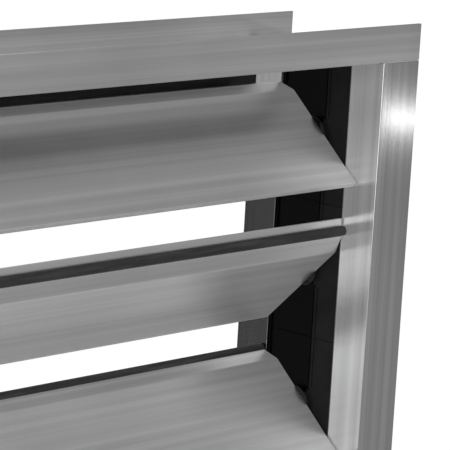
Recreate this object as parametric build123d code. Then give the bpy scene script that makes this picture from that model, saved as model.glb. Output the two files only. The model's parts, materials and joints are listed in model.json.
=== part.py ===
from build123d import *
import math
import os

# Multi-blade opposed-blade volume control damper in extruded aluminium.
# Millimetres. +X runs along the blades, -Y is the front, +Z is up.
# The origin is the middle of the front face of the bottom mounting flange.

# ---- driving dimensions -------------------------------------------------------------
BLADE_COUNT = 6
BLADE_PITCH = 100.0        # pivot to pivot, also the pitch diameter of the gears
CLEAR_WIDTH = 600.0        # between the inner faces of the two jambs
END_PITCH = 59.0           # first and last pivot to the rail beside it
DEPTH = 125.0              # front face to rear face of the frame
REST_OPEN = 47.0           # degrees that the blades stand open as modelled
DRIVEN_BLADE = 3           # the blade that the drive spindle turns

# ---- frame profiles -----------------------------------------------------------------
SHEET = 2.0                # wall of the rail and jamb profiles
RAIL_FLANGE = 26.0         # height of the rail's front mounting flange over its inner face
REAR_FLANGE = 20.0         # and of its rear one
JAMB_FLANGE = 38.0         # width of the jamb's mounting flanges from its inner face
BAND = 30.0                # smooth band at the front and the rear of each jamb
BAND_STEP = 2.0            # bearing plates lie this deep behind the bands
CORNER_GAP = 0.3           # joint between jamb end and rail
PORT_RADIUS = 3.5          # screw port in the jamb profile
PORT_BORE = 2.1
PORT_SINK = 0.8            # the port's wall runs into the band this far
PORT_INSET = 14.5          # screw port to the outer face of the flange, along Y
PROFILE_ROUND = 0.6        # outer corner of the frame profiles

# ---- blade profile, closed blade seen from its end, measured from the pivot axis -----
WALL = 1.6                 # wall of the hollow blade
FACE_TOP = 34.0            # upper end of the flat front face
FACE_FRONT = 7.6           # front face to pivot plane at its upper end
NOSE_DROP = 53.0           # lower lip tip under the pivot
NOSE_FRONT = 9.2           # lower lip tip in front of the pivot plane
NOSE_BEVEL = 1.6           # the lip's rear corner is cut back this far, to pass the gasket
NOSE_BEVEL_RISE = 2.6
NOSE_ROUND = 0.6
SHOULDER_TOP = 43.4        # upper end of the rounded shoulder above the face
SHOULDER_FRONT = 2.8
SHOULDER_ROUND = 7.0
SEAT_FLOOR = 46.2          # floor of the gasket's groove
SEAT_FRONT = 1.7           # its front edge, in front of the pivot plane
LIP_FRONT = 4.4            # front of the upper lip, behind the pivot plane
LIP_ROOT = 50.4            # from here the lip leans back
LIP_TOP = 53.9             # its tip
LIP_BACK = 8.3             # and the tip's place behind the pivot plane
LIP_THICK = 2.0
BACK_BULGE = 8.2           # rear skin to pivot plane
BACK_TOP = 46.0            # rear skin meets the upper lip
BACK_LOW = 45.0            # rear skin meets the lower lip
NOSE_STEP = 2.2            # and stands this far behind it
RIB_PLACES = (-27.0, 24.0)  # inner ribs beside the middle channel
CHANNEL_WALL = 1.8         # wall around the square channel
BLADE_END_GAP = 1.5        # blade end to the inner face of the jamb

# ---- gasket -------------------------------------------------------------------------
GASKET_RADIUS = 3.5        # round bulb of the gasket
GASKET_BACK = 0.8          # its middle behind the pivot plane
GASKET_TOP = 53.0          # its top over the pivot axis
SEAL_GAP = 0.6             # closed lip to gasket
STOP_GAP = 0.3             # closed blade to the stop on the rail

# ---- pivots, bearing plates, gears ----------------------------------------------------
SQUARE = 12.0              # square of the pivots and the drive spindle
SQUARE_GAP = 0.05          # each side of the square
PLUG_LENGTH = 45.0         # pivot inside the blade
COLLAR_RADIUS = 12.0
JOURNAL_RADIUS = 9.0
BEARING_GAP = 0.05         # radial, journal in its bearing
THRUST_GAP = 0.3           # collar to bearing plate
PLATE = 4.0                # thickness of the bearing plates
PLATE_SIDE_GAP = 0.1       # bearing plate to the sides of its recess
PLATE_END_GAP = 0.2        # half of the seam between two bearing plates
BOSS_WALL = 3.0            # wall of the bearing boss
BOSS_GAP = 0.1             # boss to its hole in the jamb
SNAP_RIM = 0.6             # rim behind the jamb that holds the plate
SNAP_RIM_LENGTH = 0.9
SNAP_GAP = 0.2
GROOVE_WIDTH = 2.2         # upright groove in the bearing plate
GROOVE_DEPTH = 1.6
GROOVE_FRONT = 8.0         # groove to the pivot plane
BEAD_WIDTH = 1.4           # raised bead in front of the groove
BEAD_HEIGHT = 0.7
BEAD_FROM_GROOVE = 0.6
PAD_RADIUS = 14.0          # flat pad around the bearing, where groove and bead stop
KNOB_RADIUS = 1.3          # small knob on the end of each bead
KNOB_HEIGHT = 1.1
REAR_DIP = 0.8             # rear field of the plate lies lower than its front field
FIELD_MARGIN = 1.5
GEAR_TEETH = 40
PRESSURE_ANGLE = 20.0
GEAR_WIDTH = 8.0
GEAR_ADDENDUM = 0.9        # of the gear module
GEAR_DEDENDUM = 1.25       # of the gear module
BACKLASH = 0.3             # along the pitch circle
GEAR_GAP = 0.5             # gear to the bearing boss
GEAR_RIM = 6.0
GEAR_WEB = 3.0
GEAR_HUB_RADIUS = 14.0
GEAR_HOLE_COUNT = 6
GEAR_HOLE_RADIUS = 7.5
SPINDLE_REACH = 98.0       # drive spindle end to the inner face of the jamb
SPINDLE_IN_BLADE = 90.0
SPINDLE_TURNED = 6.0       # radius of the turned outer end
SPINDLE_SQUARE_PAST = 4.0  # square part past the gear
SPINDLE_CHAMFER = 1.0
GRUB_RADIUS = 2.5          # grub screw in the hub of the driven gear
GRUB_GAP = 0.1
GRUB_SOCKET = 1.25
END_SCREW_RADIUS = 2.5     # screw that holds a gear on its pivot
END_SCREW_LENGTH = 14.0
END_SCREW_HEAD = 7.5
HEAD_HEIGHT = 2.6
SCREW_GAP = 0.1
SCREW_SLOT = 1.2           # width of the cross slots
END_SCREW_TIP_ROOM = 2.0   # the screw's hole is deeper than its shank

# ---- rail stops and corner screws -------------------------------------------------------
STOP_SHEET = 2.0
STOP_TOP_LEG = 11.0        # hangs from the top rail
STOP_LOW_LEG = 13.0        # stands on the bottom rail
STOP_FOOT = 18.0
STOP_END_GAP = 0.5
STRIP_SHEET = 2.0          # black strip under the rear edge of the top rail
STRIP_LEG = 34.0
STRIP_FOOT = 14.0
STRIP_REAR = 1.0           # strip to the rear face of the frame
FIRST_GASKET = 2           # the top blade closes against its stop, without a gasket
CORNER_SCREW_LENGTH = 25.0
CORNER_HEAD_RADIUS = 4.5
CORNER_SCREW_RADIUS = 2.0

NEAR = 0.01                # two places closer than this are the same

# ---- derived places ---------------------------------------------------------------------
half_width = CLEAR_WIDTH / 2
mid_y = DEPTH / 2
low_z = RAIL_FLANGE / 2                                   # inner face of the bottom rail
top_z = low_z + 2 * END_PITCH + (BLADE_COUNT - 1) * BLADE_PITCH
jamb_height = top_z - low_z - 2 * CORNER_GAP
frame_length = CLEAR_WIDTH + 2 * JAMB_FLANGE
blade_length = CLEAR_WIDTH - 2 * BLADE_END_GAP
recess_half = DEPTH / 2 - BAND                            # half width of the jamb recess
plate_front = BAND_STEP                                   # outward from the jamb face
plate_back = plate_front + PLATE
web_back = plate_back + SHEET
boss_radius = JOURNAL_RADIUS + BEARING_GAP + BOSS_WALL
boss_end = web_back + SNAP_GAP + SNAP_RIM_LENGTH
gear_start = boss_end + GEAR_GAP
gear_end = gear_start + GEAR_WIDTH
pitch_radius = BLADE_PITCH / 2
gear_module = BLADE_PITCH / GEAR_TEETH
tip_radius = pitch_radius + GEAR_ADDENDUM * gear_module
root_radius = pitch_radius - GEAR_DEDENDUM * gear_module
rim_inner = root_radius - GEAR_RIM
gasket_front = GASKET_RADIUS - GASKET_BACK
nose_rear = -gasket_front - SEAL_GAP                      # rear face of the lower lip


def pivot_z(number):
    """Height of the pivot of blade 1 (top) to BLADE_COUNT (bottom)."""
    return top_z - END_PITCH - (number - 1) * BLADE_PITCH


def rest_angle(number):
    """Turn about +X from closed to the modelled pose; neighbours turn opposite ways."""
    return -REST_OPEN if number % 2 else REST_OPEN


def at_pivot(solid, number):
    """Move a solid made closed about the X axis to blade NUMBER as it stands at rest."""
    turned = solid.rotate(Axis.X, rest_angle(number))
    return turned.moved(Location((0, mid_y, pivot_z(number))))


def box(x0, x1, y0, y1, z0, z1):
    """Box between two corners."""
    size = Box(x1 - x0, y1 - y0, z1 - z0)
    return size.moved(Location(((x0 + x1) / 2, (y0 + y1) / 2, (z0 + z1) / 2)))


def rod(x0, x1, radius, y=0.0, z=0.0):
    """Round bar along X."""
    bar = Cylinder(radius, x1 - x0, rotation=(0, 90, 0))
    return bar.moved(Location(((x0 + x1) / 2, y, z)))


def bar_square(x0, x1, side):
    """Square bar along X about the pivot axis."""
    return box(x0, x1, -side / 2, side / 2, -side / 2, side / 2)


def along_x(face_points, length):
    """Extrude a closed (y, z) outline along X, centred on X = 0."""
    outline = Polyline(*[(0, y, z) for y, z in face_points], close=True)
    return extrude(make_face(outline), amount=length / 2, dir=(1, 0, 0), both=True)


def mirrored(solid):
    """The same piece at the left end."""
    return solid.mirror(Plane.YZ)


def one_solid(shape):
    """The single solid of a shape."""
    solids = shape.solids()
    assert len(solids) == 1, len(solids)
    return solids[0]


# ---- frame ------------------------------------------------------------------------------
def rail():
    """Top rail: a channel with its mounting flanges turned up, full width."""
    web = box(-frame_length / 2, frame_length / 2, 0, DEPTH, 0, SHEET)
    front = box(-frame_length / 2, frame_length / 2, 0, SHEET, 0, RAIL_FLANGE)
    rear = box(-frame_length / 2, frame_length / 2, DEPTH - SHEET, DEPTH, 0, REAR_FLANGE)
    body = web + front + rear
    for x_side in (-1, 1):
        for y in port_ys():
            hole = Cylinder(CORNER_SCREW_RADIUS + SCREW_GAP, 3 * SHEET)
            body -= hole.moved(Location((x_side * (half_width + port_x()), y, SHEET / 2)))
    outer = body.edges().filter_by(Axis.X).filter_by(
        lambda e: abs(e.center().Z) < NEAR and abs(abs(e.center().Y - mid_y) - mid_y) < NEAR)
    return one_solid(fillet(outer, PROFILE_ROUND))


def port_x():
    """Screw port, outward from the inner face of the jamb."""
    return SHEET + PORT_RADIUS - PORT_SINK


def port_ys():
    """Screw ports along Y."""
    return PORT_INSET, DEPTH - PORT_INSET


def jamb():
    """Right jamb: bands, recess for the bearing plates, flanges and screw ports."""
    x0 = half_width
    z0 = low_z + CORNER_GAP
    z1 = z0 + jamb_height
    recess_front = mid_y - recess_half
    half = box(x0, x0 + SHEET, 0, recess_front, z0, z1)
    half += box(x0, x0 + JAMB_FLANGE, 0, SHEET, z0, z1)
    half += box(x0, x0 + web_back, recess_front - SHEET, recess_front, z0, z1)
    half += box(x0 + plate_back, x0 + web_back, recess_front - SHEET, mid_y, z0, z1)
    port = Cylinder(PORT_RADIUS, z1 - z0) - Cylinder(PORT_BORE, z1 - z0)
    half += port.moved(Location((x0 + port_x(), PORT_INSET, (z0 + z1) / 2)))
    rear = half.mirror(Plane.XZ).moved(Location((0, DEPTH, 0)))
    body = half + rear
    for number in range(1, BLADE_COUNT + 1):
        body -= rod(x0, x0 + 2 * web_back, boss_radius + BOSS_GAP, mid_y, pivot_z(number))
    outer = body.edges().filter_by(Axis.Z).filter_by(
        lambda e: abs(e.center().X - x0) < NEAR
        and abs(abs(e.center().Y - mid_y) - mid_y) < NEAR)
    return one_solid(fillet(outer, PROFILE_ROUND))


def corner_screws():
    """Pan-head screws through the rails into the screw ports of the jambs."""
    shank = Cylinder(CORNER_SCREW_RADIUS, CORNER_SCREW_LENGTH + SHEET)
    shank = shank.moved(Location((0, 0, (SHEET - CORNER_SCREW_LENGTH) / 2)))
    head = Cylinder(CORNER_HEAD_RADIUS, HEAD_HEIGHT)
    head = fillet(head.edges().sort_by(Axis.Z)[-1], HEAD_HEIGHT / 2)
    head = head.moved(Location((0, 0, SHEET + HEAD_HEIGHT / 2)))
    slot = box(-CORNER_HEAD_RADIUS / 2, CORNER_HEAD_RADIUS / 2, -SCREW_SLOT / 2, SCREW_SLOT / 2,
               SHEET + HEAD_HEIGHT / 2, SHEET + HEAD_HEIGHT)
    screw = one_solid(shank + head - slot - slot.rotate(Axis.Z, 90))
    low = screw.rotate(Axis.X, 180)
    group = []
    for x_side in (-1, 1):
        for y in port_ys():
            x = x_side * (half_width + port_x())
            group.append(screw.moved(Location((x, y, top_z))))
            group.append(low.moved(Location((x, y, low_z))))
    return Compound(group)


def stop(front, leg, up):
    """Angle strip on a rail that the first or the last blade closes against.

    front is its rear face's distance in front of the pivot plane.
    """
    length = CLEAR_WIDTH - 2 * STOP_END_GAP
    y1 = mid_y - front
    y0 = y1 - STOP_SHEET
    points = [(y0 - STOP_FOOT, 0), (y1, 0), (y1, leg), (y0, leg),
              (y0, STOP_SHEET), (y0 - STOP_FOOT, STOP_SHEET)]
    strip = along_x(points if up else [(y, -z) for y, z in points], length)
    return one_solid(strip.moved(Location((0, 0, low_z if up else top_z))))


def rear_strip():
    """Angle strip that hangs from the top rail at the rear of the frame."""
    y1 = DEPTH - STRIP_REAR
    y0 = y1 - STRIP_SHEET
    points = [(y1, 0), (y1, -STRIP_LEG), (y0, -STRIP_LEG), (y0, -STRIP_SHEET),
              (y0 - STRIP_FOOT, -STRIP_SHEET), (y0 - STRIP_FOOT, 0)]
    strip = along_x(points, CLEAR_WIDTH - 2 * STOP_END_GAP)
    return one_solid(strip.moved(Location((0, 0, top_z))))


# ---- blade ------------------------------------------------------------------------------
def blade_outline():
    """Closed wire of the hollow aerofoil, as (0, y, z)."""
    lip_rear = LIP_FRONT + LIP_THICK
    run, rise = LIP_BACK - LIP_FRONT, LIP_TOP - LIP_ROOT
    lean = math.hypot(run, rise)
    tip_y, tip_z = LIP_BACK + LIP_THICK * rise / lean, LIP_TOP - LIP_THICK * run / lean
    front = Polyline((0, -SEAT_FRONT, SEAT_FLOOR), (0, -SHOULDER_FRONT, SHOULDER_TOP),
                     (0, -FACE_FRONT, FACE_TOP), (0, -NOSE_FRONT, -NOSE_DROP),
                     (0, nose_rear - NOSE_BEVEL, -NOSE_DROP),
                     (0, nose_rear, NOSE_BEVEL_RISE - NOSE_DROP),
                     (0, nose_rear + NOSE_STEP, -BACK_LOW))
    back = ThreePointArc((0, nose_rear + NOSE_STEP, -BACK_LOW), (0, BACK_BULGE, 0),
                         (0, lip_rear, BACK_TOP))
    tip = Polyline((0, lip_rear, BACK_TOP), (0, lip_rear, tip_z - (tip_y - lip_rear) * rise / run),
                   (0, tip_y, tip_z), (0, LIP_BACK, LIP_TOP), (0, LIP_FRONT, LIP_ROOT),
                   (0, LIP_FRONT, SEAT_FLOOR), (0, -SEAT_FRONT, SEAT_FLOOR))
    return make_face([front, back, tip])


def blade():
    """Hollow extrusion with a square channel on the pivot axis and two ribs."""
    skin = blade_outline()
    solid = extrude(skin, amount=blade_length / 2, dir=(1, 0, 0), both=True)
    shoulder = solid.edges().filter_by(Axis.X).sort_by(
        lambda e: (e.center().Y + FACE_FRONT) ** 2 + (e.center().Z - FACE_TOP) ** 2)[0]
    solid = fillet(shoulder, SHOULDER_ROUND)
    nose = solid.edges().filter_by(Axis.X).filter_by(
        lambda e: abs(e.center().Z + NOSE_DROP) < NEAR)
    solid = fillet(nose, NOSE_ROUND)
    wall_top = SHOULDER_TOP - WALL
    inner = [(-FACE_FRONT + WALL * 1.3, FACE_TOP - WALL), (-SHOULDER_FRONT + WALL, wall_top - WALL),
             (0, wall_top), (back_y(wall_top) - WALL, wall_top)]
    steps = 12
    low = -BACK_LOW + WALL
    for step in range(1, steps + 1):
        z = wall_top + (low - wall_top) * step / steps
        inner.append((back_y(z) - WALL, z))
    inner.append((face_y(low) + WALL, low))
    hollow = along_x(inner, blade_length)
    half = SQUARE / 2 + SQUARE_GAP + CHANNEL_WALL
    hollow -= box(-blade_length, blade_length, -2 * half, 2 * half, -half, half)
    for z in RIB_PLACES:
        hollow -= box(-blade_length, blade_length, -2 * half, 2 * half, z - WALL / 2, z + WALL / 2)
    solid = solid - hollow - bar_square(-blade_length, blade_length, SQUARE + 2 * SQUARE_GAP)
    return one_solid(solid)


def face_y(z):
    """Front face of the blade at a height."""
    share = (FACE_TOP - z) / (FACE_TOP + NOSE_DROP)
    return -FACE_FRONT - (NOSE_FRONT - FACE_FRONT) * share


def back_y(z):
    """Rear skin of the blade at a height, on the arc through its three points."""
    ends = ((nose_rear + NOSE_STEP, -BACK_LOW), (LIP_FRONT + LIP_THICK, BACK_TOP))
    (y0, z0), (y1, z1), (y2, z2) = ends[0], (BACK_BULGE, 0.0), ends[1]
    d = 2 * (y0 * (z1 - z2) + y1 * (z2 - z0) + y2 * (z0 - z1))
    s0, s1, s2 = y0 ** 2 + z0 ** 2, y1 ** 2 + z1 ** 2, y2 ** 2 + z2 ** 2
    cy = (s0 * (z1 - z2) + s1 * (z2 - z0) + s2 * (z0 - z1)) / d
    cz = (s0 * (y2 - y1) + s1 * (y0 - y2) + s2 * (y1 - y0)) / d
    radius = math.hypot(y0 - cy, z0 - cz)
    return cy + math.sqrt(radius ** 2 - (z - cz) ** 2)


def gasket():
    """Rubber bulb on a foot that fills the groove on the upper edge of the blade."""
    end = blade_length / 2
    middle_z = GASKET_TOP - GASKET_RADIUS
    bulb = rod(-end, end, GASKET_RADIUS, GASKET_BACK, middle_z)
    foot = box(-end, end, -SEAT_FRONT, LIP_FRONT, SEAT_FLOOR, middle_z)
    below = box(-end, end, -blade_length, blade_length, 0, SEAT_FLOOR)
    return one_solid(bulb + foot - below)


# ---- pivots, bearing plates, gears ------------------------------------------------------
def pivot(with_gear_square):
    """Right pivot: square plug, collar and journal, and a square for the gear."""
    blade_end = half_width - BLADE_END_GAP
    collar_end = half_width + plate_front - THRUST_GAP
    body = bar_square(blade_end - PLUG_LENGTH, blade_end + 1, SQUARE)
    body += rod(blade_end, collar_end, COLLAR_RADIUS)
    body += rod(collar_end, half_width + boss_end, JOURNAL_RADIUS)
    if with_gear_square:
        end = half_width + gear_end
        body += bar_square(half_width + boss_end, end, SQUARE)
        body -= rod(end - END_SCREW_LENGTH - END_SCREW_TIP_ROOM, end, END_SCREW_RADIUS + SCREW_GAP)
    return one_solid(body)


def spindle_sleeve():
    """Pivot sleeve of the driven blade: the drive spindle passes through it."""
    blade_end = half_width - BLADE_END_GAP
    collar_end = half_width + plate_front - THRUST_GAP
    body = rod(blade_end, collar_end, COLLAR_RADIUS)
    body += rod(collar_end, half_width + boss_end, JOURNAL_RADIUS)
    body -= bar_square(blade_end - 1, half_width + gear_end, SQUARE + 2 * SQUARE_GAP)
    return one_solid(body)


def drive_spindle():
    """Bar from inside the driven blade out past the jamb: square, with a round end."""
    start = half_width - BLADE_END_GAP - SPINDLE_IN_BLADE
    end = half_width + SPINDLE_REACH
    shoulder = half_width + gear_end + SPINDLE_SQUARE_PAST
    bar = bar_square(start, shoulder, SQUARE) + rod(shoulder, end, SPINDLE_TURNED)
    return one_solid(chamfer(bar.faces().sort_by(Axis.X)[-1].edges(), SPINDLE_CHAMFER))


def bearing_plate(number):
    """Black plate behind the jamb face, with the bearing boss of one blade."""
    first = number == 1
    last = number == BLADE_COUNT
    up = END_PITCH - CORNER_GAP if first else BLADE_PITCH / 2
    down = END_PITCH - CORNER_GAP if last else BLADE_PITCH / 2
    z0 = -down + PLATE_END_GAP
    z1 = up - PLATE_END_GAP
    half = recess_half - PLATE_SIDE_GAP
    x0 = half_width + plate_front
    body = box(x0, half_width + plate_back, -half, half, z0, z1)
    groove_rear = -GROOVE_FRONT
    groove_face = groove_rear - GROOVE_WIDTH
    body -= box(x0, x0 + REAR_DIP, groove_rear, half - FIELD_MARGIN, z0 - 1, z1 + 1)
    body -= box(x0, x0 + GROOVE_DEPTH, groove_face, groove_rear, z0 - 1, z1 + 1)
    bead_rear = groove_face - BEAD_FROM_GROOVE
    for low, high, knob in ((z0, -PAD_RADIUS, -PAD_RADIUS), (PAD_RADIUS, z1, PAD_RADIUS)):
        body += box(x0 - BEAD_HEIGHT, x0 + BEAD_HEIGHT, bead_rear - BEAD_WIDTH, bead_rear,
                    low, high)
        body += rod(x0 - KNOB_HEIGHT, x0 + KNOB_HEIGHT, KNOB_RADIUS,
                    bead_rear - BEAD_WIDTH / 2, knob)
    body += rod(x0, half_width + plate_back, PAD_RADIUS)
    body += rod(half_width + plate_back - 1, half_width + boss_end, boss_radius)
    body += rod(half_width + boss_end - SNAP_RIM_LENGTH, half_width + boss_end,
                boss_radius + SNAP_RIM)
    body -= rod(x0 - 1, half_width + boss_end + 1, JOURNAL_RADIUS + BEARING_GAP)
    return one_solid(body).moved(Location((0, mid_y, pivot_z(number))))


def involute(radius, base):
    """Polar angle of the involute of a base circle at a radius."""
    roll = math.sqrt(max(radius ** 2 - base ** 2, 0.0)) / base
    return roll - math.atan(roll)


def gear_blank():
    """Spur gear about the X axis with a tooth pointing straight up."""
    base = pitch_radius * math.cos(math.radians(PRESSURE_ANGLE))
    tooth_half = (math.pi * gear_module / 2 - BACKLASH) / 2 / pitch_radius
    at_pitch = involute(pitch_radius, base)
    start = max(root_radius, base)
    flank = []
    flank_points = 5
    for step in range(flank_points):
        radius = start + (tip_radius - start) * step / (flank_points - 1)
        flank.append((radius, tooth_half + at_pitch - involute(radius, base)))
    root_half = flank[0][1]
    tooth_pitch = 2 * math.pi / GEAR_TEETH

    def spot(radius, angle):
        return 0, radius * math.sin(angle), radius * math.cos(angle)

    edges = []
    for tooth in range(GEAR_TEETH):
        middle = tooth * tooth_pitch
        rise = [spot(r, middle - a) for r, a in flank]
        fall = [spot(r, middle + a) for r, a in reversed(flank)]
        next_root = middle + tooth_pitch - root_half
        edges.append(Line(spot(root_radius, middle - root_half), rise[0]))
        edges.append(Spline(*rise))
        edges.append(ThreePointArc(rise[-1], spot(tip_radius, middle), fall[0]))
        edges.append(Spline(*fall))
        edges.append(Line(fall[-1], spot(root_radius, middle + root_half)))
        edges.append(ThreePointArc(spot(root_radius, middle + root_half),
                                   spot(root_radius, middle + tooth_pitch / 2),
                                   spot(root_radius, next_root)))
    body = extrude(make_face(edges), amount=GEAR_WIDTH, dir=(1, 0, 0))
    dish = rod(0, (GEAR_WIDTH - GEAR_WEB) / 2, rim_inner) - rod(0, GEAR_WIDTH, GEAR_HUB_RADIUS)
    body -= dish
    body -= dish.moved(Location(((GEAR_WIDTH + GEAR_WEB) / 2, 0, 0)))
    hole_circle = (rim_inner + GEAR_HUB_RADIUS) / 2
    for hole in range(GEAR_HOLE_COUNT):
        angle = 2 * math.pi * (hole + 0.5) / GEAR_HOLE_COUNT
        body -= rod(0, GEAR_WIDTH, GEAR_HOLE_RADIUS,
                    hole_circle * math.sin(angle), hole_circle * math.cos(angle))
    return body.moved(Location((half_width + gear_start, 0, 0)))


def grub_x():
    """Middle of the gear, where the grub screw sits."""
    return half_width + gear_start + GEAR_WIDTH / 2


def grub_screw():
    """Grub screw in the hub, with its tip on the spindle; built about the X axis."""
    low = SQUARE / 2 + SQUARE_GAP
    high = GEAR_HUB_RADIUS - GRUB_GAP
    body = Cylinder(GRUB_RADIUS, high - low).moved(Location((grub_x(), 0, (low + high) / 2)))
    body -= Cylinder(GRUB_SOCKET, high - low).moved(Location((grub_x(), 0, high)))
    return one_solid(body)


def gear(number, blank):
    """Gear of one blade at rest; every second gear has a tooth space straight up."""
    half_tooth = 180.0 / GEAR_TEETH
    body = blank if number % 2 else blank.rotate(Axis.X, half_tooth)
    body = body.moved(Location((0, mid_y, pivot_z(number))))
    side = SQUARE + 2 * SQUARE_GAP
    bore = bar_square(half_width, half_width + 2 * gear_end, side)
    body -= at_pivot(bore, number)
    if number == DRIVEN_BLADE:
        hole = Cylinder(GRUB_RADIUS + GRUB_GAP, rim_inner)
        hole = hole.moved(Location((grub_x(), 0, rim_inner / 2)))
        body -= at_pivot(hole, number)
    return one_solid(body)


def end_screw():
    """Screw that holds a gear on its pivot."""
    end = half_width + gear_end
    body = rod(end - END_SCREW_LENGTH, end + HEAD_HEIGHT, END_SCREW_RADIUS)
    body += rod(end, end + HEAD_HEIGHT, END_SCREW_HEAD)
    slot = box(end + HEAD_HEIGHT / 2, end + HEAD_HEIGHT, -END_SCREW_HEAD / 2,
               END_SCREW_HEAD / 2, -SCREW_SLOT / 2, SCREW_SLOT / 2)
    return one_solid(body - slot - slot.rotate(Axis.X, 90))


# ---- assembly -----------------------------------------------------------------------------
def make_parts():
    """Every piece of the damper by its node name."""
    parts = {}
    top = rail()
    parts["top_rail"] = top.moved(Location((0, 0, top_z)))
    parts["bottom_rail"] = top.mirror(Plane.XY).moved(Location((0, 0, low_z)))
    parts["right_jamb"] = jamb()
    parts["left_jamb"] = mirrored(parts["right_jamb"])
    parts["corner_screws"] = corner_screws()
    parts["top_stop"] = stop(STOP_GAP - LIP_FRONT, STOP_TOP_LEG, up=False)
    parts["rear_strip"] = rear_strip()
    parts["bottom_stop"] = stop(NOSE_FRONT + STOP_GAP, STOP_LOW_LEG, up=True)
    one_blade, one_gasket = blade(), gasket()
    right_pivot, left_pivot = pivot(True), mirrored(pivot(False))
    blank, screw = gear_blank(), end_screw()
    for number in range(1, BLADE_COUNT + 1):
        driven = number == DRIVEN_BLADE
        plate = bearing_plate(number)
        parts[f"right_bearing_plate_{number}"] = plate
        parts[f"left_bearing_plate_{number}"] = mirrored(plate)
        parts[f"blade_{number}"] = at_pivot(one_blade, number)
        if number >= FIRST_GASKET:
            parts[f"gasket_{number}"] = at_pivot(one_gasket, number)
        right = spindle_sleeve() if driven else right_pivot
        parts[f"right_pivot_{number}"] = at_pivot(right, number)
        parts[f"left_pivot_{number}"] = at_pivot(left_pivot, number)
        parts[f"gear_{number}"] = gear(number, blank)
        if driven:
            parts["drive_spindle"] = at_pivot(drive_spindle(), number)
            parts["spindle_grub_screw"] = at_pivot(grub_screw(), number)
        else:
            parts[f"gear_screw_{number}"] = at_pivot(screw, number)
    return parts


os.makedirs("parts", exist_ok=True)
for name, shape in make_parts().items():
    export_step(shape, f"parts/{name}.step")
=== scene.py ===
# %% [markdown]
# # A volume control damper, dressed for the studio
# A volume control damper sits in an air duct. Its blades turn together and choke the air.
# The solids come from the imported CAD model, so every size and every axis is already true.
# This file gives each piece its finish, rounds the edges of the large pieces, and sets the
# light and the camera. It adds no part of its own.

# %% Load the frame
import json
import math

import bmesh
import bpy
from mathutils import Matrix, Vector

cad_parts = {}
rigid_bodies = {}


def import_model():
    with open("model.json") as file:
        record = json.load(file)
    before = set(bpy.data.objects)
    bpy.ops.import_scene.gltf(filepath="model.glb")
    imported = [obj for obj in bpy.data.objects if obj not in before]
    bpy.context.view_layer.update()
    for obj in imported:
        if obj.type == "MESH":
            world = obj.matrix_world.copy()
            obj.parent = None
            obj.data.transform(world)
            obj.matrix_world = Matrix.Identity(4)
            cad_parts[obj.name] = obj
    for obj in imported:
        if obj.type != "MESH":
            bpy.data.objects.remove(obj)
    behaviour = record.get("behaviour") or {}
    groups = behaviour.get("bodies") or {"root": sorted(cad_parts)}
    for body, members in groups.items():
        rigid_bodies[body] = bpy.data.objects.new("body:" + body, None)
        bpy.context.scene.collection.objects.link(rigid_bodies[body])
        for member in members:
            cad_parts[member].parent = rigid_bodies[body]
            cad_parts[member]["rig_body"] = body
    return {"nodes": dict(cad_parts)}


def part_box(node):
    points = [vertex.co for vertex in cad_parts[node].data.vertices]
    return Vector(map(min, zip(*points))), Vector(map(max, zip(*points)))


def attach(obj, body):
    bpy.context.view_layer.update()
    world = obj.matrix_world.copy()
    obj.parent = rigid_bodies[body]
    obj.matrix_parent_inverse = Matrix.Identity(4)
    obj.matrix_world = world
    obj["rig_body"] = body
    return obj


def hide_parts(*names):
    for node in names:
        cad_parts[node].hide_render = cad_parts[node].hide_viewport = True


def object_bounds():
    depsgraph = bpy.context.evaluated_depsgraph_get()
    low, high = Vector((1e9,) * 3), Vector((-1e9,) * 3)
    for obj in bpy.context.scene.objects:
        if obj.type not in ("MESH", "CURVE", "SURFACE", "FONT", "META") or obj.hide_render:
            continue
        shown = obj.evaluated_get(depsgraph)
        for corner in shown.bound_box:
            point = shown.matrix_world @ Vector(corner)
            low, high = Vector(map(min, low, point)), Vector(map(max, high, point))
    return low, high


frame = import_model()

cad_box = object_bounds()
MM = 0.001
blade_nodes = sorted(name for name in frame["nodes"] if name.startswith("blade_"))
print("nodes:", len(frame["nodes"]), "blades:", len(blade_nodes))

# %% [markdown]
# ## Writing shader maths as Python
# A material in Blender is a graph of nodes. Wiring it by hand hides the idea, so one small
# class wraps a socket: `a * b` adds a Math node, and every other node comes from one
# method that takes its type, its settings and the values or links of its sockets.

# %% The socket wrapper
class Wire:
    """An output socket that adds Math nodes when it meets an operator."""

    def __init__(self, finish, socket):
        self.finish = finish
        self.socket = socket

    def math(self, operation, left, right):
        return self.finish.node("ShaderNodeMath", {"operation": operation}, {0: left, 1: right})

    def __add__(self, other):
        return self.math("ADD", self, other)

    def __radd__(self, other):
        return self.math("ADD", other, self)

    def __sub__(self, other):
        return self.math("SUBTRACT", self, other)

    def __rsub__(self, other):
        return self.math("SUBTRACT", other, self)

    def __mul__(self, other):
        return self.math("MULTIPLY", self, other)

    def __rmul__(self, other):
        return self.math("MULTIPLY", other, self)

    def __truediv__(self, other):
        return self.math("DIVIDE", self, other)


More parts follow.
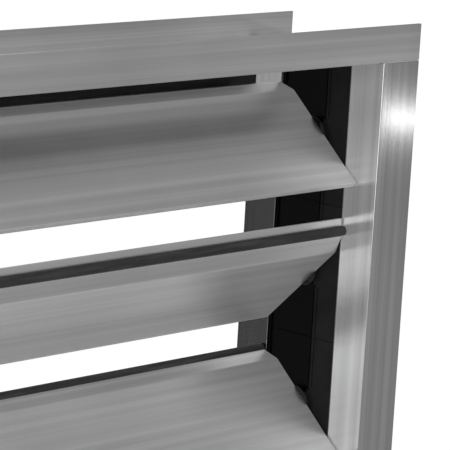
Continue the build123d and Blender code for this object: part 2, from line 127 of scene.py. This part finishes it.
# %% The material builder
class Finish:
    """A material with a Principled surface, and helpers for the patterns that feed it."""

    def __init__(self, name, **fixed):
        self.material = bpy.data.materials.new(name)
        self.material.use_nodes = True
        self.tree = self.material.node_tree
        self.surface = self.tree.nodes["Principled BSDF"]
        for socket, value in fixed.items():
            self.surface.inputs[socket.replace("_", " ")].default_value = value

    def node(self, kind, settings=None, inputs=None, out=0):
        made = self.tree.nodes.new(kind)
        for key, value in (settings or {}).items():
            if key == "stops":
                for spot, (place, level) in zip(ramp_spots(made, len(value)), value):
                    spot.position = place
                    spot.color = (level, level, level, 1.0)
            else:
                setattr(made, key, value)
        for key, value in (inputs or {}).items():
            if isinstance(value, Wire):
                self.tree.links.new(value.socket, made.inputs[key])
            else:
                made.inputs[key].default_value = value
        return Wire(self, made.outputs[out])

    def place(self, scale):
        """Object coordinates in metres, stretched by a scale for each axis."""
        where = self.node("ShaderNodeTexCoord", out="Object")
        return self.node("ShaderNodeMapping", {}, {"Vector": where, "Scale": scale})

    def noise(self, scale, detail=2.0, rough=0.5):
        """Soft noise from 0 to 1, with its own scale along X, Y and Z, in 1/m."""
        return self.node("ShaderNodeTexNoise", {},
                         {"Vector": self.place(scale), "Scale": 1.0, "Detail": detail,
                          "Roughness": rough})

    def ramp(self, value, *stops):
        return self.node("ShaderNodeValToRGB", {"stops": stops}, {"Fac": value})

    def tint(self, factor, dark, light):
        """Blend two colours by a factor."""
        return self.node("ShaderNodeMix", {"data_type": "RGBA"},
                         {0: factor, 6: (*dark, 1.0), 7: (*light, 1.0)}, out=2)

    def feed(self, socket, wire):
        self.tree.links.new(wire.socket, self.surface.inputs[socket])

    def bump(self, height, distance, strength=1.0):
        normal = self.node("ShaderNodeBump", {},
                           {"Height": height, "Distance": distance, "Strength": strength})
        self.feed("Normal", normal)


def ramp_spots(made, count):
    """The stops of a new colour ramp, as many as asked for."""
    spots = made.color_ramp.elements
    while len(spots) < count:
        spots.new(1.0)
    return spots


# %% [markdown]
# ## Mill aluminium
# The frame and the blades are extruded and left as they come from the press. The die draws
# fine lines along the profile, so the metal isn't a mirror: light smears across the lines
# and stays sharp along them. Here stretched noise makes the lines: it shifts the colour and
# the roughness a little and gives a very small bump. The smear itself isn't modelled. The
# lines follow X on rails and blades, and Z on the jambs.

# %% Aluminium drawn along one axis
FINE_LINES = 700.0       # lines across the profile, in 1/m
BROAD_LINES = 150.0
LINE_RUN = 1.5           # how fast a line changes along the profile, in 1/m
LINE_DEPTH = 0.00005     # in metres
CLOUDS = (9.0, 9.0, 9.0)   # slow change of tone over the sheet, in 1/m


def drawn_scale(axis, across, along=LINE_RUN):
    """Noise scales for lines that run along one axis."""
    scale = [across, across, across]
    scale["XYZ".index(axis)] = along
    return tuple(scale)


def aluminium(name, axis, dark, light, rough):
    """Bare aluminium with die lines along an axis, from its darkest to its lightest tone."""
    metal = Finish(name, Metallic=1.0)
    fine = metal.noise(drawn_scale(axis, FINE_LINES), 3.0, 0.6)
    broad = metal.noise(drawn_scale(axis, BROAD_LINES), 2.0, 0.5)
    cloud = metal.noise(CLOUDS, 2.0, 0.5)
    shade = metal.ramp(0.55 * broad + 0.25 * fine + 0.2 * cloud, (0.36, 0.0), (0.64, 1.0))
    metal.feed("Base Color", metal.tint(shade, dark, light))
    metal.feed("Roughness", rough - 0.05 + 0.1 * cloud + 0.06 * broad)
    metal.bump(fine + 0.8 * broad, LINE_DEPTH)
    return metal.material


frame_metal_x = aluminium("mill_aluminium_rails", "X", (0.54, 0.54, 0.545), (0.74, 0.74, 0.745),
                          0.30)
frame_metal_z = aluminium("mill_aluminium_jambs", "Z", (0.55, 0.55, 0.555), (0.72, 0.72, 0.725),
                          0.13)
blade_metal = aluminium("mill_aluminium_blades", "X", (0.66, 0.66, 0.665), (0.82, 0.82, 0.825),
                        0.35)
print("aluminium finishes:", frame_metal_x.name, frame_metal_z.name, blade_metal.name)

# %% [markdown]
# ## Moulded black plastic, rubber and steel
# Bearing plates, pivots and gears are moulded. A tool leaves a faint grain and a soft
# sheen. The front part of each bearing plate is satin, and the rest polished and darker; the
# satin front is painted lighter, as a painted sheen.
# The gasket is dull rubber with a trace of talc. Spindle and screws are zinc plated steel.

# %% Plastic, rubber and zinc
PLATE_GROOVE = 0.0545    # Y in metres at which a bearing plate turns from satin to polished


def moulded(name, dark, light, rough, polished_from=None):
    """Black plastic. Behind the Y of polished_from, in metres, the tool is polished; in front
    of it the tone is painted lighter, as a painted sheen.
    """
    plastic = Finish(name)
    plastic.surface.inputs["Specular IOR Level"].default_value = 0.2
    cloud = plastic.noise((30.0, 30.0, 30.0), 3.0, 0.55)
    grain = plastic.noise((2600.0, 2600.0, 2600.0), 1.0, 0.5)
    # 1 on the satin front, which is rougher and gets the painted sheen, and 0 on the polished
    # rest.
    satin_and_painted_sheen = 1.0
    if polished_from is not None:
        where = plastic.node("ShaderNodeTexCoord", out="Object")
        depth = plastic.node("ShaderNodeSeparateXYZ", {}, {0: where}, out="Y")
        satin_and_painted_sheen = plastic.node("ShaderNodeMath", {"operation": "LESS_THAN"},
                             {0: depth, 1: polished_from})
    # Base colour: the satin front takes the cloud tone and is painted lighter than the polished
    # rest, a painted sheen.
    plastic.feed("Base Color", plastic.tint(cloud * satin_and_painted_sheen, dark, light))
    plastic.feed("Roughness", 0.1 + (rough - 0.18 + 0.16 * cloud) * satin_and_painted_sheen)
    plastic.bump(grain, 0.00003)
    return plastic.material


def rubber(name):
    """Dull black rubber with pale dust in long streaks."""
    soft = Finish(name)
    dust = soft.ramp(soft.noise((18.0, 220.0, 220.0), 3.0, 0.6), (0.45, 0.0), (0.8, 1.0))
    soft.feed("Base Color", soft.tint(dust, (0.012, 0.012, 0.013), (0.05, 0.05, 0.05)))
    soft.feed("Roughness", 0.62 + 0.2 * dust)
    soft.bump(soft.noise((700.0, 700.0, 700.0), 2.0, 0.5), 0.00005)
    return soft.material


def zinc(name):
    """Zinc plated steel with faint marks of turning."""
    steel = Finish(name, Metallic=1.0)
    cloud = steel.noise((120.0, 120.0, 120.0), 3.0, 0.6)
    turned = steel.noise((1500.0, 60.0, 60.0), 2.0, 0.5)
    steel.feed("Base Color", steel.tint(cloud, (0.46, 0.46, 0.47), (0.62, 0.62, 0.61)))
    steel.feed("Roughness", 0.26 + 0.14 * cloud)
    steel.bump(turned, 0.00003)
    return steel.material


# The tone lies between the two and follows the clouds. Where it is polished it is the dark one,
# so the satin front of a plate is painted lighter, as a painted sheen.
plate_plastic = moulded("black_moulded_plate", (0.0015, 0.0015, 0.0015),
                        (0.026, 0.026, 0.026), 0.48, polished_from=PLATE_GROOVE)
gear_plastic = moulded("black_moulded_gear", (0.020, 0.020, 0.022), (0.034, 0.034, 0.036), 0.38)
gasket_rubber = rubber("gasket_rubber")
zinc_steel = zinc("zinc_plated_steel")

# %% [markdown]
# ## Giving every CAD node its finish
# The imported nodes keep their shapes. Each gets its material by the kind of piece that its
# name says it is. The first row that fits counts, so the screws come before the gears.

# %% Dress the nodes
FINISH_OF = (
    (("top_rail", "bottom_rail"), frame_metal_x),
    (("left_jamb", "right_jamb"), frame_metal_z),
    (("blade_",), blade_metal),
    (("gasket_",), gasket_rubber),
    (("gear_screw_", "corner_screws", "drive_spindle", "spindle_grub_screw"), zinc_steel),
    (("gear_",), gear_plastic),
    (("right_", "left_", "top_stop", "bottom_stop", "rear_strip"), plate_plastic),
)


def finish_of(node):
    """The material of a piece."""
    for starts, material in FINISH_OF:
        if node.startswith(starts):
            return material
    raise ValueError(node)


def put_on(thing, material):
    """Give an object one material and no other."""
    thing.data.materials.clear()
    thing.data.materials.append(material)


for node, thing in frame["nodes"].items():
    put_on(thing, finish_of(node))
print("dressed", len(frame["nodes"]), "nodes")

# %% [markdown]
# ## Edges that catch the light
# No sawn or pressed edge is sharp. The saw leaves a burr that is brushed off, and the die has
# a small radius in each corner, so every edge shows a fine bright line. The solids have
# perfect edges. So the frame, the blades and the plates are shown as copies with a small
# bevel, and the solids stay, hidden. The copy is merged first, as an exported mesh doubles
# its points along each edge, and flat neighbours are joined. Edges sharper than SHARP_ABOVE
# get the bevel. Faces that meet at less than SMOOTH_BELOW are shaded as one curve.

# %% Rounded copies of the large pieces
SHARP_ABOVE = math.radians(28)
SMOOTH_BELOW = math.radians(12)
MERGE = 1e-6                     # metres between points that are one
SAME_PLANE = math.radians(0.3)
# width of the bevel in millimetres, by the start of the node's name
SOFT_EDGE = {"top_rail": 0.5, "bottom_rail": 0.5, "left_jamb": 0.5, "right_jamb": 0.5,
             "blade_": 0.6, "right_bearing_plate_": 0.3, "left_bearing_plate_": 0.3}


def softened(node, width):
    """Stand a copy with rounded edges in for a CAD node, and count its faces."""
    solid = frame["nodes"][node]
    shape = bmesh.new()
    shape.from_mesh(solid.data)
    bmesh.ops.remove_doubles(shape, verts=shape.verts, dist=MERGE)
    bmesh.ops.dissolve_limit(shape, angle_limit=SAME_PLANE, verts=shape.verts,
                             edges=shape.edges)
    sharp = [edge for edge in shape.edges
             if edge.is_manifold and edge.calc_face_angle() > SHARP_ABOVE]
    bmesh.ops.bevel(shape, geom=sharp, offset=width, offset_type="OFFSET", affect="EDGES",
                    segments=2, profile=0.5, material=-1, clamp_overlap=True)
    bmesh.ops.recalc_face_normals(shape, faces=shape.faces)
    for face in shape.faces:
        face.smooth = True
    mesh = bpy.data.meshes.new(node + "_soft")
    shape.to_mesh(mesh)
    shape.free()
    mesh.set_sharp_from_angle(angle=SMOOTH_BELOW)
    copy = bpy.data.objects.new(node + "_soft", mesh)
    bpy.context.collection.objects.link(copy)
    put_on(copy, finish_of(node))
    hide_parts(node)
    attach(copy, solid["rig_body"])
    return len(mesh.polygons)


faces = 0
for start, width in SOFT_EDGE.items():
    for node in sorted(name for name in frame["nodes"] if name.startswith(start)):
        faces += softened(node, width * MM)
print("faces in the rounded copies:", faces)

# %% [markdown]
# ## Floor and world
# The background is white. The floor is pale and keeps the shadow. Rays from the camera and
# rays that bounce off metal find a white of strength 1, and all other rays a plain level
# just below it, so that a colour comes out about as it is written.

# %% The floor and the world
low, high = (Vector(corner) for corner in cad_box)
middle = (low + high) / 2
PLAIN_LEVEL = 0.85       # what the world gives to the rays that light matt surfaces
FLOOR_GLOW = 0.35        # added to the floor where it is seen, so that it reads as white
FLOOR_SIDE = 60          # metres
FLOOR_GAP = 0.0005       # metres under the damper


def flat_sheet(name, width, height, material):
    """A rectangle in the XY plane, which is not part of the damper."""
    mesh = bpy.data.meshes.new(name)
    shape = bmesh.new()
    bmesh.ops.create_grid(shape, x_segments=1, y_segments=1, size=0.5)
    bmesh.ops.scale(shape, verts=shape.verts, vec=(width, height, 1))
    shape.to_mesh(mesh)
    shape.free()
    thing = bpy.data.objects.new(name, mesh)
    bpy.context.collection.objects.link(thing)
    put_on(thing, material)
    return thing


def seen_directly(finish):
    """1 for camera, glossy and transmission rays, and 0 for the others."""
    kinds = [finish.node("ShaderNodeLightPath", out=f"Is {kind} Ray")
             for kind in ("Camera", "Glossy", "Transmission")]
    first = finish.node("ShaderNodeMath", {"operation": "MAXIMUM"}, {0: kinds[0], 1: kinds[1]})
    return finish.node("ShaderNodeMath", {"operation": "MAXIMUM"}, {0: first, 1: kinds[2]})


pale = Finish("pale_floor", Base_Color=(0.8, 0.8, 0.8, 1), Roughness=0.9,
              Specular_IOR_Level=0.0, Emission_Color=(1, 1, 1, 1))
pale.feed("Emission Strength", FLOOR_GLOW * seen_directly(pale))
ground = flat_sheet("studio_floor", FLOOR_SIDE, FLOOR_SIDE, pale.material)
ground.location.z = low.z - FLOOR_GAP

sky = bpy.data.worlds.new("studio_world")
sky.use_nodes = True
bpy.context.scene.world = sky
light_path = sky.node_tree.nodes.new("ShaderNodeLightPath")
level = None
for kind in ("Camera", "Glossy", "Transmission"):
    either = sky.node_tree.nodes.new("ShaderNodeMath")
    either.operation = "MAXIMUM"
    either.inputs[0].default_value = PLAIN_LEVEL
    if level:
        sky.node_tree.links.new(level, either.inputs[0])
    sky.node_tree.links.new(light_path.outputs[f"Is {kind} Ray"], either.inputs[1])
    level = either.outputs[0]
sky.node_tree.links.new(level, sky.node_tree.nodes["Background"].inputs["Strength"])
sky.node_tree.nodes["Background"].inputs["Color"].default_value = (1, 1, 1, 1)
print("floor at", round(ground.location.z, 4))

# %% [markdown]
# ## Flats for the metal
# Bare metal shows the room. In a white room it would look flat and pale, so a studio stands
# grey flats out of view, and the metal shows those. Here they are sheets that only glossy
# rays can see, so they leave the light on everything else as it is. A black sheet with glow
# has an even tone from all sides. The first seven stand around the damper: a grey wall and
# ground in front and on the right, a bright strip for the fine edges, a bright one at the
# left, and a dark corner at the rear.
#
# The last four are a trick that no studio has. They stand inside the damper, close to the
# drive side and under the top rail, and lighten what would show black plastic or darkness:
# the top blade, the right ends of the blades and the bands of the right jamb. They don't
# move with the blades, and the left side has none.

# %% The grey flats
def flat(name, place, turn, width, height, glow, cover=1.0):
    """A sheet that only shiny surfaces see. With cover below 1 they also see through it."""
    grey = Finish(name, Base_Color=(0, 0, 0, 1), Roughness=1.0, Specular_IOR_Level=0.0,
                  Emission_Color=(1, 1, 1, 1), Emission_Strength=glow, Alpha=cover)
    card = flat_sheet(name, width, height, grey.material)
    card.location = place
    card.rotation_euler = turn
    card.visible_camera = card.visible_diffuse = card.visible_shadow = False


UPRIGHT = math.radians(90)
FACING_BACK = (UPRIGHT, 0, 0)
FACING_SIDE = (0, UPRIGHT, 0)
LYING = (0, 0, 0)
plate_low, plate_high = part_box("right_bearing_plate_1")
PLATE_WIDTH = plate_high[1] - plate_low[1]

# name, middle, turn, width, height, glow
AROUND = (
    ("front_flat", (1.5, -2.4, 1.2), FACING_BACK, 6.0, 2.4, 0.40),
    ("front_ground_flat", (0.8, -1.25, 0.002), LYING, 5.0, 2.3, 0.30),
    ("right_flat", (2.6, 0.0, 3.0), (UPRIGHT, 0, UPRIGHT), 6.0, 6.0, 0.24),
    ("edge_flat", (2.0, -2.38, 1.35), FACING_BACK, 5.0, 0.7, 1.3),
    ("left_flat", (-1.7, -1.9, 0.72), (UPRIGHT, 0, -UPRIGHT / 2), 1.6, 1.4, 3.2),
    ("rear_flat", (-1.5, 1.6, 0.5), FACING_BACK, 1.8, 1.0, 0.07),
    ("rear_ground_flat", (-1.2, 0.95, 0.002), LYING, 2.0, 1.6, 0.07),
)
INSIDE = (
    ("rail_flat", (0.0, 0.0625, 0.6305), LYING, 0.596, 0.12, 0.32),
    ("plate_flat", (0.299, 0.0625, 0.322), FACING_SIDE, 0.617, PLATE_WIDTH, 0.20),
)
for sheet in AROUND + INSIDE:
    flat(*sheet)

# front and rear band of the right jamb: lowest and highest Y, lowest and highest Z, glow, cover
BANDS = (
    (0.0005, plate_low[1] - 0.0003, 0.014, 0.630, 0.62, 0.5),
    (plate_high[1] + 0.002, 0.1225, 0.592, 0.630, 0.5, 0.9),
)
band_x = plate_low[0] - 0.0016
for y_low, y_high, z_low, z_high, glow, cover in BANDS:
    flat("band_flat", (band_x, (y_low + y_high) / 2, (z_low + z_high) / 2), FACING_SIDE,
         z_high - z_low, y_high - y_low, glow, cover)
print("flats around the damper:", len(AROUND), "inside it:", len(INSIDE) + len(BANDS))

# %% [markdown]
# ## Lamps
# One soft lamp from the left and above gives the black mouldings their sheen. A small one
# close to the drive side puts the white glint on the side flange: its mirror image in the
# flange is what the camera sees.

# %% The lamps
def softbox(name, place, target, height, glow, width=None):
    """A lamp whose face is glow times as bright as white."""
    light = bpy.data.lights.new(name, "AREA")
    light.shape = "RECTANGLE"
    light.size = width or height
    light.size_y = height
    light.energy = glow * math.pi * light.size * height
    thing = bpy.data.objects.new(name, light)
    bpy.context.collection.objects.link(thing)
    thing.location = place
    thing.rotation_euler = (Vector(target) - Vector(place)).to_track_quat("-Z", "Y").to_euler()
    return thing


softbox("glint_lamp", (0.73, -0.355, 0.509), (0.33, 0.0, 0.60), 0.014, 4.2, 0.10)
softbox("left_softbox", (-2.4, -1.9, 1.5), middle, 1.4, 1.6)

# %% [markdown]
# ## Camera
# A long lens from the front left, a little above the top rail, tilted a few degrees.

# %% The camera
EYE = Vector((-1.22432, -1.27990, 0.89209))
AIM = Vector((0.21291, 0.0625, 0.51287))
ROLL = math.radians(3.31)
LENS = 228.02

ahead = (AIM - EYE).normalized()
level_right = ahead.cross(Vector((0, 0, 1))).normalized()
level_up = level_right.cross(ahead)
right = math.cos(ROLL) * level_right + math.sin(ROLL) * level_up
up = right.cross(ahead)
camera = bpy.data.objects.new("camera", bpy.data.cameras.new("camera"))
bpy.context.collection.objects.link(camera)
camera.data.lens = LENS
camera.data.sensor_width = 36.0
turn = Matrix((right, up, -ahead)).transposed().to_4x4()
camera.matrix_world = Matrix.Translation(EYE) @ turn
bpy.context.scene.camera = camera
bpy.context.scene.view_settings.view_transform = "Standard"
print("camera", [round(v, 3) for v in EYE], "lens", LENS)
